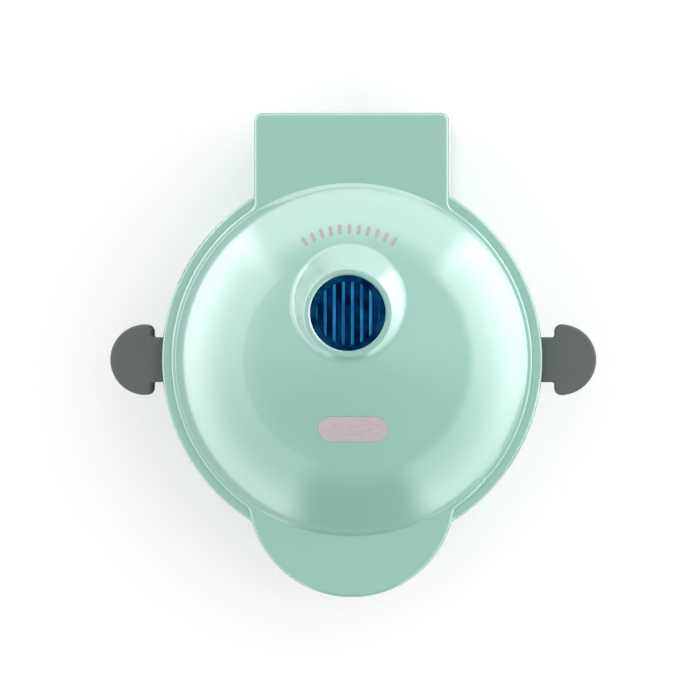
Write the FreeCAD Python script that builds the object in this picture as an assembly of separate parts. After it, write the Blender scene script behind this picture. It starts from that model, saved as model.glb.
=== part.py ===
"""A compact clamshell maker for four small ring donuts. Millimetres, +Z up, -Y towards the handle.

Every piece is drawn about the round body's axis, with the closed lid on. The two halves share most of
their pieces: those are drawn once, below a parting plane at z = 0, and set or mirrored into place.
"""

import FreeCAD, Part
import math
import os

V = FreeCAD.Vector

# Outline, seen from above
RIM_R = 63.5  # lid rim
BLOCK_REACH = 18.7  # hinge block's back beyond the rim
LIP_REACH = 15.6  # lip handle's tip beyond the rim
BLOCK_W = 65.0  # hinge block
BLOCK_CORNER_R = 2.7
LIP_R = 34.7  # lip handle's round end
FLARE_R = 3.0  # where the block runs into the rim

# Heights
FOOT_H = 2.5
PARTING_Z = 37.0
HALF_GAP = 0.3  # parting plane to either half
CARRIER_H = 8.2  # dark ring of each half
RIM_H = 3.5
STEP_H = 2.2
DOME_RISE = 21.3

# Lid surface
WALL = 2.2
STEP_INSET = 3.1  # rim to the step's wall
DOME_INSET = 1.7  # step's wall to the foot of the dome
CROWN_LEAN = 18.55  # degrees, the slope where the crown runs into the shoulder
SHOULDER_W = 23.7  # tighter arc between the crown and the foot of the dome
EDGE_R = 1.3  # rounded top edges of step, block and lip
RIM_EDGE_R = 0.9
PLAN_BLEND_R = 3.0  # where the step's wall runs into block and lip, seen from above
DOME_BLEND_R = 0.5

# Indicator in its collar
LENS_Y = 15.4
LENS_R = 12.4
LENS_H = 3.0
LENS_CLEAR = 0.12
LENS_FLANGE = 2.1
LENS_FLANGE_H = 1.2
LENS_MARGIN = 2.0  # plain ring round the ribbed field
LENS_WELL = 12.0  # room under the lens
RIB_PITCH = 3.0
RIB_R = 0.85  # half-round ribs, their tops level with the rim
COLLAR_CREST_W = 2.0  # lens to the collar's crest
COLLAR_RUN = 10.0  # crest out to the cone's hidden foot
COLLAR_RISE = 1.3  # crest above the top of the dome
COLLAR_DEPTH = 10.0  # crest down to the cone's hidden foot
COLLAR_BLEND_R = 3.0
COLLAR_CREST_EDGE_R = 0.8
COLLAR_LIP = 0.5  # crest down to the top of the lens
RETAINER_H = 1.5
RETAINER_FIT = 0.5
LAMP_R = 2.5
LAMP_LEN = 7.0
LAMP_CUP_R = 9.0
LAMP_CUP_H = 6.0
LAMP_CUP_T = 1.0
LAMP_FLANGE_T = 1.2
LAMP_TAIL = 1.5  # lamp below its cup
LAMP_COLLAR_W = 0.7
LAMP_COLLAR_T = 0.8

# Badge and marks on the lid
BADGE_LEN = 22.7
BADGE_W = 8.0
BADGE_Y = -22.8
BADGE_X = 1.5
BADGE_T = 0.4
MARK_COUNT = 11
MARK_SPAN = 64.0  # degrees about the indicator
MARK_R = 28.0
MARK_LEN = 3.0
MARK_W = 1.1
MARK_T = 0.15

# Base shell
BASE_INSET = 1.1
BASE_TAPER = 4.4  # round tub's top to its foot
BASE_EDGE_R = 5.0
BASE_LIP_INSET = 4.7
BASE_LIP_DEPTH = 13.0
BASE_REAR_GAP = 1.2  # base block short of the lid block
SHELF_D = 6.0  # base block drops this far before the hinge axis to let the lid swing
SHELF_DROP = 4.5

# Carrier, plate and latch
CARRIER_INSET = 0.3
DECK_T = 2.5
CARRIER_WALL = 2.5
CARRIER_EDGE_R = 0.5
PLATE_INSET = 11.5  # rim to the plate
PLATE_T = 2.5
PLATE_FIT = 0.3
SEAT_DEPTH = 9.0  # parting plane to the seat
SEAT_T = 1.8
SEAT_W = 1.8  # seat under the plate's edge
INNER_WALL = 1.7
SKIRT_T = 2.0
DONUT_R = 12.2  # middle of the ring groove
GROOVE_R = 7.0
DONUT_SPREAD = 20.8  # donut centre from either middle line
POCKET_MARGIN = 1.1
POCKET_T = 2.2
POCKET_EDGE_R = 3.0
POST_HOLLOW_R = 3.4
SPIGOT_FIT = 0.3
SPIGOT_T = 1.8
SPIGOT_DEPTH = 12.0
RIDGE_INSET = 1.7  # rim to the steam ridge of the base, which runs in a groove of the lid
RIDGE_T = 1.2
RIDGE_RISE = 0.6  # above the parting plane
RIDGE_FIT = 0.3

LATCH_W = 15.0
LATCH_T = 4.0
LATCH_TOP = 3.4  # parting plane to the latch
LATCH_TRAVEL = 4.0
LATCH_FIT = 0.25
LATCH_NOSE_FIT = 0.5
SLIP = 0.3  # running room round a guided piece
RAIL_T = 1.5
PANEL_T = 2.0
LATCH_HOLD = 3.4  # nose under the plate's edge
LATCH_NECK = 3.8  # rim to the head
LATCH_REACH = 17.7  # rim to the tip
LATCH_HEAD_R = 11.85
LATCH_EAR_R = 2.4
LATCH_EDGE_R = 0.9
LATCH_NECK_R = 0.8
WING_W = 19.0
STOP_FIT = 0.3
WINDOW_W = 4.6
PEG_INSET = 4.3  # rim to the spring's peg
PEG_T = 1.2
SPRING_R = 1.55
SPRING_WIRE_R = 0.25
SPRING_COILS = 6
SPRING_END_FIT = 0.1

# Heating
HEATER_R = 30.0
HEATER_TUBE_R = 2.5
HEATER_DEPTH = 13.3
HEATER_SWEEP = 310.0
HEATER_LEG = 7.0
HEATER_PIN_R = 1.0
HEATER_PIN_LEN = 4.0
CLIP_T = 0.8
CLIP_W = 4.0
CLIP_FOOT = 4.0
CLIP_FIT = 0.1
CLIP_ANGLES = (0, 180, 270)
REFLECTOR_INSET = 3.0  # plate's edge to the pan's wall
REFLECTOR_FLANGE = 5.0
REFLECTOR_T = 1.0
REFLECTOR_DEPTH = 17.0
LEG_HOLE_FIT = 0.4
THERMOSTAT_R = 7.5
THERMOSTAT_H = 5.0
THERMOSTAT_X = -14.0
THERMOSTAT_Y = -12.0
THERMOSTAT_CAP_H = 2.0
THERMOSTAT_CAP_W = 1.5  # cap's edge inside the body's
TAB_REACH = 10.5
TAB_W = 3.0
TAB_T = 0.8
FUSE_R = 2.0
FUSE_LEN = 11.0
FUSE_Y = 12.0
FUSE_LEAD = 5.0
FUSE_LEAD_R = 0.5

# Hinge
HINGE_INSET = 5.2  # block's back to the hinge axis
HINGE_RISE = 3.0  # hinge axis above the parting plane
KNUCKLE_R = 4.2
PIN_R = 2.0
PIN_FIT = 0.08
PRESS_FIT = 0.02
EAR_X = 14.0
EAR_W = 8.0
KNUCKLE_GAP = 0.3
NOTCH_RISE = 1.8  # lid's back wall is cut away this far above the knuckles
INNER_LUG_W = 2.7
OUTER_LUG_W = 7.5
SLEEVE_R = 2.6
SLEEVE_BORE_R = 1.3
SLEEVE_LEN = 14.0
WIRE_R = 0.9
WIRE_TURN = 2.8
WIRE_HOLE_FIT = 0.4
WIRE_END = 0.1  # gap at a soldered or crimped end
WIRE_DROP = 3.0  # lead's bend below the pin or tab
LEAD_BOW = 2.0
LOOM_GAP = 0.3
LOOM_FALL = 8.0
WIRE_WAY_W = 26.0  # gap in the spigots for the looms
LUG_BACK = 3.2
PIN_SHORT = 1.5  # pin's end inside the outer lug's
EAR_BACK = 3.8
CRADLE_W = 5.0
CRADLE_D = 4.0
CRADLE_HUG = 2.0  # cradle's top below the hinge axis
SLEEVE_SEAT_W = 6.0

# Fasteners and underside
SCREW_INSET = 6.2  # rim to the carrier screws
SCREW_R = 1.2
SCREW_FIT = 0.05
SCREW_HEAD_R = 2.5
SCREW_HEAD_H = 1.4
SCREW_LEN = 9.0
SCREW_ROOM = 0.5  # hole beyond a screw's tip
DRIVE_W = 3.0
DRIVE_T = 0.8
DRIVE_DEPTH = 0.7
BOSS_R = 3.0
COVER_T = 2.2
COVER_FIT = 0.3
COVER_BOSS_INSET = 17.5  # rim to the cover screws
COVER_BOSS_H = 12.0
RIB_T = 2.0
VENT_COUNT = 5
FOOT_R = 6.0
FOOT_SPREAD = 30.5
PLUG_R = 2.2
PLUG_BULB = 0.6
PLUG_BULB_H = 2.0
PLUG_TIP_R = 1.4
FOOT_EDGE = 0.6
VENT_W = 2.4
VENT_LEN = 18.0
VENT_PITCH = 7.0
GLAND_Z = 12.0
GLAND_R = 6.0
GLAND_BORE_R = 3.6
GLAND_FLANGE_T = 1.2
GLAND_LEN = 8.0
GLAND_STEP = 1.5
TERMINAL_W = 26.0
TERMINAL_D = 10.0
TERMINAL_H = 9.0
TERMINAL_FRONT = 19.0  # hinge axis to the block's front
TERMINAL_ENTRY_R = 1.6
TERMINAL_ENTRY_RISE = 3.0
TERMINAL_FLOOR = 4.0  # under the screws
TERMINAL_SCREW_H = 3.6
TERMINAL_SCREW_R = 1.9

# Places that follow from the sizes above
REAR_REACH = RIM_R + BLOCK_REACH  # body axis to the back of the hinge block
FRONT_REACH = RIM_R + LIP_REACH  # body axis to the tip of the lip handle
FOOTPRINT_SHIFT = (FRONT_REACH - REAR_REACH) / 2  # puts the origin at the footprint's middle
STEP_R = RIM_R - STEP_INSET
DOME_R = STEP_R - DOME_INSET
CROWN_REACH = DOME_R - SHOULDER_W
CROWN_R = CROWN_REACH / math.sin(math.radians(CROWN_LEAN))
COLLAR_CREST_R = LENS_R + COLLAR_CREST_W
COLLAR_FOOT_R = COLLAR_CREST_R + COLLAR_RUN
HINGE_Y = REAR_REACH - HINGE_INSET
SHELF_Y = HINGE_Y - SHELF_D
PLATE_R = RIM_R - PLATE_INSET
SEAT_R = PLATE_R - SEAT_W
POCKET_R = DONUT_R + GROOVE_R + POCKET_MARGIN
RIDGE_R = RIM_R - RIDGE_INSET
LATCH_NOSE_X = PLATE_R - LATCH_HOLD
LATCH_NECK_X = RIM_R + LATCH_NECK
LATCH_TIP_X = RIM_R + LATCH_REACH
WINDOW_X = PLATE_R
PEG_X = RIM_R - PEG_INSET
REFLECTOR_R = PLATE_R - REFLECTOR_INSET
REFLECTOR_FLANGE_R = REFLECTOR_R + REFLECTOR_FLANGE
SCREW_CIRCLE_R = RIM_R - SCREW_INSET
COVER_BOSS_R = RIM_R - COVER_BOSS_INSET
TERMINAL_Y = HINGE_Y - TERMINAL_FRONT
BASE_LIP_R = LIP_R - BASE_LIP_INSET
RIM_Z = PARTING_Z + HALF_GAP + CARRIER_H
LEDGE_Z = RIM_Z + RIM_H
DOME_Z = LEDGE_Z + STEP_H
CROWN_Z = DOME_Z + DOME_RISE
CREST_Z = CROWN_Z + COLLAR_RISE
LENS_Z = CREST_Z - COLLAR_LIP - LENS_H  # underside of the lens body
LIP_Y = LIP_R - FRONT_REACH
CARRIER_R = RIM_R - CARRIER_INSET
BASE_R = RIM_R - BASE_INSET
BASE_FOOT_R = BASE_R - BASE_TAPER
BASE_TOP_Z = PARTING_Z - HALF_GAP - CARRIER_H
BASE_REAR = REAR_REACH - BASE_REAR_GAP
BASE_BLOCK_W = BLOCK_W - 2 * BASE_INSET
SHELF_Z = PARTING_Z - SHELF_DROP
HINGE_Z = PARTING_Z + HINGE_RISE
SCREW_ANGLES = (45, 135, 225, 315)
COVER_ANGLES = (20, 160, 200, 340)
TERMINAL_ENTRY_Z = FOOT_H + COVER_T + TERMINAL_ENTRY_RISE
WIRE_TURN_X = -(SLEEVE_LEN / 2 + WIRE_TURN)
PIN_X = EAR_X - KNUCKLE_GAP - INNER_LUG_W
DEEP = 200.0  # longer than any piece, for tools that cut right through
OVER = 1.0  # a cutting tool's run past the surface


def cylinder(radius, z0, z1, x=0.0, y=0.0):
    return Part.makeCylinder(radius, z1 - z0, V(x, y, z0))


def ring(outer, inner, z0, z1, x=0.0, y=0.0):
    return cylinder(outer, z0, z1, x, y).cut(cylinder(inner, z0, z1, x, y))


def box(x0, x1, y0, y1, z0, z1):
    return Part.makeBox(x1 - x0, y1 - y0, z1 - z0, V(x0, y0, z0))


def cross_cylinder(radius, x0, x1, y, z):
    return Part.makeCylinder(radius, x1 - x0, V(x0, y, z), V(1, 0, 0))


def line(a, b):
    return Part.LineSegment(V(a[0], 0, a[1]), V(b[0], 0, b[1])).toShape()


def revolve(points, x=0.0, y=0.0):
    """Turns a closed outline of (radius, height) corners about a vertical axis."""
    corners = list(points) + [points[0]]
    wire = Part.Wire([line(a, b) for a, b in zip(corners, corners[1:])])
    solid = Part.Face(wire).revolve(V(0, 0, 0), V(0, 0, 1), 360)
    solid.translate(V(x, y, 0))
    return solid


def fuse(shapes):
    return shapes[0].multiFuse(list(shapes[1:])).removeSplitter()


def edges_where(shape, test):
    return [edge for edge in shape.Edges if test(edge.BoundBox)]


def upright(bound):
    flat = bound.XLength < 1e-3 and bound.YLength < 1e-3
    return flat and bound.ZLength > 0.5


def at_height(z):
    return lambda bound: abs(bound.ZMin - z) < 1e-3 and bound.ZLength < 1e-3


def polar(radius, degrees):
    turn = math.radians(degrees)
    return radius * math.cos(turn), radius * math.sin(turn)


def mirror_x(shape):
    return shape.mirror(V(0, 0, 0), V(1, 0, 0))


def place(shape, upper):
    """Sets a piece drawn below z = 0 into the base, or mirrors it into the lid."""
    placed = shape.mirror(V(0, 0, 0), V(0, 0, 1)) if upper else shape.copy()
    placed.translate(V(0, 0, PARTING_Z))
    return placed


def tube_along(points, radius):
    """A round tube on straight runs joined by the largest tangent arcs that half of each run allows."""
    spots = [V(*p) for p in points]
    edges = []
    start = spots[0]
    for before, corner, after in zip(spots, spots[1:], spots[2:]):
        back = (before - corner).normalize()
        ahead = (after - corner).normalize()
        half_turn = (math.pi - back.getAngle(ahead)) / 2
        trim = 0.45 * min(before.distanceToPoint(corner), corner.distanceToPoint(after))
        bend_r = trim / math.tan(half_turn)
        middle = (back + ahead).normalize()
        inset = bend_r / math.cos(half_turn) - bend_r
        arc_start = corner + back * trim
        arc_end = corner + ahead * trim
        edges.append(Part.LineSegment(start, arc_start).toShape())
        edges.append(Part.Arc(arc_start, corner + middle * inset, arc_end).toShape())
        start = arc_end
    edges.append(Part.LineSegment(start, spots[-1]).toShape())
    path = Part.Wire(edges)
    section = Part.Wire([Part.makeCircle(radius, spots[0], spots[1] - spots[0])])
    return path.makePipeShell([section], True, True)


def screw(x, y, z, length=SCREW_LEN):
    """A countersunk screw, head at z and pointing down."""
    head = Part.makeCone(SCREW_R, SCREW_HEAD_R, SCREW_HEAD_H, V(x, y, z - SCREW_HEAD_H))
    shank = cylinder(SCREW_R, z - length, z - SCREW_HEAD_H, x, y)
    slot_arm = box(-DRIVE_T / 2, DRIVE_T / 2, -DRIVE_W / 2, DRIVE_W / 2, z - DRIVE_DEPTH, z)
    cross = slot_arm.fuse(slot_arm.rotated(V(0, 0, 0), V(0, 0, 1), 90))
    cross.translate(V(x, y, 0))
    return fuse([head, shank]).cut(cross)


def countersink(x, y, z, depth):
    """The hole that screw() fits, head at z."""
    fit = SCREW_FIT
    cone = Part.makeCone(SCREW_R + fit, SCREW_HEAD_R + fit, SCREW_HEAD_H, V(x, y, z - SCREW_HEAD_H))
    return cone.fuse(cylinder(SCREW_R + fit, z - depth, z, x, y))


# Lid


def dome_solid(offset):
    """The dome grown outwards by offset: a wide crown arc that runs on into a tighter edge arc."""
    crown_z = CROWN_Z - CROWN_R
    lean = math.radians(CROWN_LEAN)
    join = V(CROWN_REACH, 0, crown_z + CROWN_R * math.cos(lean))
    normal = V(math.sin(lean), 0, math.cos(lean))
    foot = V(DOME_R, 0, DOME_Z)
    chord = foot - join
    edge_r = -chord.dot(chord) / (2 * chord.dot(normal))
    centre = join - normal * edge_r
    foot_lean = math.atan2(foot.x - centre.x, foot.z - centre.z)
    edge_r += offset
    crown_r = CROWN_R + offset

    def on_edge(angle):
        return centre + V(math.sin(angle), 0, math.cos(angle)) * edge_r

    def on_crown(angle):
        return V(math.sin(angle), 0, math.cos(angle)) * crown_r + V(0, 0, crown_z)

    crown = Part.Arc(on_crown(0), on_crown(lean / 2), on_crown(lean)).toShape()
    edge = Part.Arc(on_edge(lean), on_edge((lean + foot_lean) / 2), on_edge(foot_lean)).toShape()
    end = on_edge(foot_lean)
    floor = V(end.x, 0, LEDGE_Z)
    outline = [
        crown,
        edge,
        Part.LineSegment(end, floor).toShape(),
        Part.LineSegment(floor, V(0, 0, LEDGE_Z)).toShape(),
        Part.LineSegment(V(0, 0, LEDGE_Z), on_crown(0)).toShape(),
    ]
    return Part.Face(Part.Wire(outline)).revolve(V(0, 0, 0), V(0, 0, 1), 360)


def block_prism(width, rear, front, z0, z1):
    prism = box(-width / 2, width / 2, front, rear, z0, z1)
    corners = edges_where(prism, lambda b: upright(b) and b.YMin > rear - 1e-3)
    return prism.makeFillet(BLOCK_CORNER_R, corners)


def shelf_top():
    """The step, the hinge block and the lip handle: one flat top inside one blended outline."""
    step = cylinder(STEP_R, RIM_Z, DOME_Z)
    block = block_prism(BLOCK_W, REAR_REACH, 0, RIM_Z, DOME_Z)
    lip = cylinder(LIP_R, RIM_Z, DOME_Z, 0, LIP_Y)
    shape = fuse([step, block, lip])
    shape = shape.makeFillet(PLAN_BLEND_R, edges_where(shape, lambda b: upright(b) and b.YMax < RIM_R))
    return shape.makeFillet(EDGE_R, edges_where(shape, at_height(DOME_Z)))


def skirts():
    """The walls of block and lip that reach down past the round rim to the parting gap."""
    bottom = PARTING_Z + HALF_GAP
    block = block_prism(BLOCK_W, REAR_REACH, 0, bottom, RIM_Z + EDGE_R)
    lip = cylinder(LIP_R, bottom, RIM_Z + EDGE_R, 0, LIP_Y)
    return block.fuse(lip).cut(cylinder(RIM_R, bottom - 1, RIM_Z))


def lid_outside():
    rim = cylinder(RIM_R, RIM_Z, LEDGE_Z)
    rim = rim.fuse(box(-BLOCK_W / 2, BLOCK_W / 2, 0, RIM_R + EDGE_R, RIM_Z, LEDGE_Z))
    rim = rim.makeFillet(FLARE_R, edges_where(rim, lambda b: upright(b) and b.YMax < RIM_R))
    rim = rim.makeFillet(RIM_EDGE_R, edges_where(rim, lambda b: at_height(LEDGE_Z)(b) and b.YMin < RIM_R))
    collar = revolve(
        [
            (0, CREST_Z - COLLAR_DEPTH),
            (COLLAR_FOOT_R, CREST_Z - COLLAR_DEPTH),
            (COLLAR_CREST_R, CREST_Z),
            (0, CREST_Z),
        ],
        y=LENS_Y,
    )
    shape = fuse([rim, shelf_top(), dome_solid(0), skirts(), collar])
    shape = soften(shape, DOME_BLEND_R, on_dome_foot)
    shape = soften(shape, COLLAR_CREST_EDGE_R, lambda m: abs(m.z - CREST_Z) < 1e-3)
    return soften(shape, COLLAR_BLEND_R, on_collar_foot)


def on_dome_foot(middle):
    return abs(middle.z - DOME_Z) < 1e-3 and abs(math.hypot(middle.x, middle.y) - DOME_R) < 1e-2


def on_collar_foot(middle):
    from_lens = math.hypot(middle.x, middle.y - LENS_Y)
    return COLLAR_CREST_R + OVER < from_lens < COLLAR_FOOT_R and middle.z > DOME_Z + DOME_RISE / 2


def soften(shape, radius, test):
    """Rounds the edges that a test on their middle points picks."""

    def middle(edge):
        return edge.valueAt((edge.FirstParameter + edge.LastParameter) / 2)

    return shape.makeFillet(radius, [edge for edge in shape.Edges if test(middle(edge))])


def lens_pocket():
    bore = cylinder(LENS_R + LENS_CLEAR, LENS_Z - OVER, CREST_Z + OVER, 0, LENS_Y)
    pocket_r = LENS_R + LENS_FLANGE + LENS_CLEAR
    pocket = cylinder(pocket_r, LENS_Z - LENS_WELL, LENS_Z, 0, LENS_Y)
    bore_r = LENS_R + LENS_CLEAR
    mouth = Part.makeCone(bore_r, bore_r + COLLAR_LIP, COLLAR_LIP, V(0, LENS_Y, CREST_Z - COLLAR_LIP))
    return fuse([bore, pocket, mouth])


def lid_hollow():
    """The space inside the lid shell, open at the parting gap."""
    bottom = PARTING_Z + HALF_GAP - OVER
    round_part = cylinder(RIM_R - WALL, bottom, LEDGE_Z - WALL)
    rise = cylinder(DOME_R - WALL, LEDGE_Z - WALL - OVER, LEDGE_Z)
    ceiling = DOME_Z - WALL
    block = box(-BLOCK_W / 2 + WALL, BLOCK_W / 2 - WALL, 0, REAR_REACH - WALL, bottom, ceiling)
    lip = cylinder(LIP_R - WALL, bottom, ceiling - WALL, 0, LIP_Y)
    return fuse([round_part, rise, dome_solid(-WALL), block, lip])


def hinge_lug(x0, x1):
    """A lid lug with its rib up to the block's ceiling."""
    knuckle = cross_cylinder(KNUCKLE_R, x0, x1, HINGE_Y, HINGE_Z)
    rib = box(x0, x1, HINGE_Y - KNUCKLE_R, HINGE_Y + LUG_BACK, HINGE_Z, DOME_Z - WALL / 2)
    return knuckle.fuse(rib)


def lid_cover():
    shell = lid_outside().cut(lid_hollow())
    pad_z = LENS_Z - LENS_FLANGE_H
    pad = cylinder(LENS_R + LENS_FLANGE + WALL, pad_z, LENS_Z + OVER, 0, LENS_Y)
    shell = fuse([shell, pad]).cut(lens_pocket())
    ear_end = EAR_X + EAR_W
    inner = hinge_lug(EAR_X - KNUCKLE_GAP - INNER_LUG_W, EAR_X - KNUCKLE_GAP)
    outer = hinge_lug(ear_end + KNUCKLE_GAP, ear_end + KNUCKLE_GAP + OUTER_LUG_W)
    bosses = []
    for angle in SCREW_ANGLES:
        x, y = polar(SCREW_CIRCLE_R, angle)
        post = cylinder(BOSS_R, PARTING_Z + HALF_GAP + DECK_T, CROWN_Z, x, y)
        bosses.append(post.common(dome_solid(-WALL / 2).fuse(cylinder(RIM_R - WALL / 2, 0, LEDGE_Z))))
    notch = box(
        -ear_end - KNUCKLE_GAP, ear_end + KNUCKLE_GAP,
        REAR_REACH - WALL, REAR_REACH + OVER, PARTING_Z, HINGE_Z + KNUCKLE_R + NOTCH_RISE,
    )
    shell = shell.cut(notch)
    shell = fuse([shell, inner, outer, mirror_x(inner), mirror_x(outer)] + bosses)
    pin_end = ear_end + KNUCKLE_GAP + OUTER_LUG_W - PIN_SHORT
    pin_bore = cross_cylinder(PIN_R + PRESS_FIT, PIN_X - OVER, pin_end, HINGE_Y, HINGE_Z)
    shell = shell.cut(pin_bore).cut(mirror_x(pin_bore))
    for angle in SCREW_ANGLES:
        x, y = polar(SCREW_CIRCLE_R, angle)
        depth = PARTING_Z + HALF_GAP + SCREW_LEN + SCREW_ROOM
        shell = shell.cut(cylinder(SCREW_R + SCREW_FIT, PARTING_Z, depth, x, y))
    return shell


def on_dome(prism, thickness):
    """A thin inlay of a given outline lying on the dome."""
    return prism.common(dome_solid(thickness)).cut(dome_solid(0))


def capsule(length, width, z0, z1):
    middle = length / 2 - width / 2
    bar = box(-middle, middle, -width / 2, width / 2, z0, z1)
    return fuse([bar, cylinder(width / 2, z0, z1, middle), cylinder(width / 2, z0, z1, -middle)])


def lid_badge():
    prism = capsule(BADGE_LEN, BADGE_W, DOME_Z, CREST_Z)
    prism.translate(V(BADGE_X, BADGE_Y, 0))
    return on_dome(prism, BADGE_T)


def lid_marks():
    marks = []
    for index in range(MARK_COUNT):
        turn = MARK_SPAN * (index / (MARK_COUNT - 1) - 0.5)
        prism = capsule(MARK_LEN, MARK_W, DOME_Z, CROWN_Z)
        prism.translate(V(MARK_R, 0, 0))
        prism.rotate(V(0, 0, 0), V(0, 0, 1), 90 + turn)
        prism.translate(V(0, LENS_Y, 0))
        marks.append(on_dome(prism, MARK_T))
    return Part.makeCompound(marks)


def indicator_lens():
    top = LENS_Z + LENS_H
    body = cylinder(LENS_R, LENS_Z, top, 0, LENS_Y)
    flange = cylinder(LENS_R + LENS_FLANGE, LENS_Z - LENS_FLANGE_H, LENS_Z, 0, LENS_Y)
    field_r = LENS_R - LENS_MARGIN
    field_z = top - RIB_R
    field = cylinder(field_r, field_z, top, 0, LENS_Y)
    ribs = []
    pairs = int(field_r / RIB_PITCH)
    for index in range(-pairs, pairs):
        start = V((index + 0.5) * RIB_PITCH, LENS_Y - field_r, field_z)
        ribs.append(Part.makeCylinder(RIB_R, 2 * field_r, start, V(0, 1, 0)))
    return fuse([body, flange]).cut(field.cut(Part.makeCompound(ribs)))


def lens_retainer():
    top = LENS_Z - LENS_FLANGE_H
    return ring(LENS_R + LENS_FLANGE, LAMP_CUP_R + RETAINER_FIT, top - RETAINER_H, top, 0, LENS_Y)


def lamp_holder():
    top = LENS_Z - LENS_FLANGE_H - RETAINER_H
    flange = cylinder(LENS_R, top - LAMP_FLANGE_T, top, 0, LENS_Y)
    cup = cylinder(LAMP_CUP_R, top - LAMP_CUP_H, top, 0, LENS_Y)
    hollow = cylinder(LAMP_CUP_R - LAMP_CUP_T, top - LAMP_CUP_H + LAMP_CUP_T, top, 0, LENS_Y)
    hole = cylinder(LAMP_R + SCREW_FIT, top - LAMP_CUP_H - OVER, top, 0, LENS_Y)
    return fuse([flange, cup]).cut(hollow).cut(hole)


def indicator_lamp():
    base = LENS_Z - LENS_FLANGE_H - RETAINER_H - LAMP_CUP_H
    tip_z = base - LAMP_TAIL + LAMP_LEN - LAMP_R
    collar_z = base + LAMP_CUP_T
    tube = cylinder(LAMP_R, base - LAMP_TAIL, tip_z, 0, LENS_Y)
    cap = Part.makeSphere(LAMP_R, V(0, LENS_Y, tip_z))
    collar = cylinder(LAMP_R + LAMP_COLLAR_W, collar_z, collar_z + LAMP_COLLAR_T, 0, LENS_Y)
    return fuse([tube, cap, collar])


# Pieces that both halves have


def carrier(upper):
    """The dark ring that holds the plate, its seat, the latches and the closing panels."""
    near = -HALF_GAP
    outer = ring(CARRIER_R, CARRIER_R - CARRIER_WALL, near - CARRIER_H, near)
    outer = soften(outer, CARRIER_EDGE_R, lambda m: abs(math.hypot(m.x, m.y) - CARRIER_R) < 1e-3)
    deck = ring(CARRIER_R - 2 * CARRIER_EDGE_R, PLATE_R + PLATE_FIT, near - DECK_T, near)
    bore = PLATE_R + PLATE_FIT
    inner = ring(bore + INNER_WALL, bore, -SEAT_DEPTH - SEAT_T, near)
    seat = ring(bore + INNER_WALL, SEAT_R, -SEAT_DEPTH - SEAT_T, -SEAT_DEPTH)
    spigot_r = (BASE_R - WALL) - SPIGOT_FIT
    under_ledge = HALF_GAP + CARRIER_H + RIM_H - WALL - SPIGOT_FIT
    spigot_end = -under_ledge if upper else -SPIGOT_DEPTH
    spigot = ring(spigot_r, spigot_r - SPIGOT_T, spigot_end, near - DECK_T)
    rail_y = WING_W / 2 + SLIP
    rail = box(bore + OVER, CARRIER_R - OVER, rail_y, rail_y + RAIL_T, near - CARRIER_H, near - DECK_T)
    rails = [rail, mirror_x(rail)]
    rails += [piece.mirror(V(0, 0, 0), V(0, 1, 0)) for piece in rails]
    lip_r = (LIP_R - WALL if upper else BASE_LIP_R - WALL) - PLATE_FIT
    lip = cylinder(lip_r, near - PANEL_T, near, 0, LIP_Y)
    half_width = (BLOCK_W / 2 if upper else BASE_BLOCK_W / 2) - WALL - PLATE_FIT
    back = SHELF_Y if upper else SHELF_Y - WALL - PLATE_FIT
    rear = box(-half_width, half_width, 0, back, near - PANEL_T, near)
    inside = cylinder(bore + OVER, -DEEP, 0)
    body = fuse([outer, deck, inner, seat, spigot] + rails + [lip.cut(inside), rear.cut(inside)])
    for angle in SCREW_ANGLES:
        x, y = polar(SCREW_CIRCLE_R, angle)
        body = body.cut(cylinder(BOSS_R + SPIGOT_FIT, -DEEP, near - DECK_T, x, y))
        body = body.cut(countersink(x, y, near, DECK_T + OVER))
    half_bar = LATCH_W / 2 + LATCH_FIT
    half_wing = WING_W / 2 + SLIP
    slot_z0 = -LATCH_TOP - LATCH_T - LATCH_FIT
    slot_z1 = -LATCH_TOP + LATCH_FIT
    wall_in = CARRIER_R - CARRIER_WALL - SLIP
    gap_in = spigot_r - SPIGOT_T - OVER
    gap_out = spigot_r + SLIP
    window = box(SEAT_R - OVER, CARRIER_R + OVER, -half_bar, half_bar, slot_z0, slot_z1)
    wing_room = box(bore + INNER_WALL, wall_in, -half_wing, half_wing, slot_z0, slot_z1)
    under = box(gap_in, gap_out, -half_wing, half_wing, -DEEP, near - DECK_T)
    for tool in (window, wing_room, under):
        body = body.cut(tool).cut(mirror_x(tool))
    body = body.cut(box(-WIRE_WAY_W / 2, WIRE_WAY_W / 2, gap_in - OVER, gap_out, -DEEP, near - DECK_T))
    half_peg = WINDOW_W / 2 - SLIP
    peg = box(PEG_X, PEG_X + PEG_T, -half_peg, half_peg, -LATCH_TOP - LATCH_T, near - DECK_T / 2)
    body = fuse([body, peg, mirror_x(peg)])
    if upper:
        outer_r = RIDGE_R + RIDGE_FIT
        inner_r = RIDGE_R - RIDGE_T - RIDGE_FIT
        body = body.cut(ring(outer_r, inner_r, -RIDGE_RISE - RIDGE_FIT, 0))
    else:
        body = body.fuse(ring(RIDGE_R, RIDGE_R - RIDGE_T, near - OVER, RIDGE_RISE))
    return place(body, upper)


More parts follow.
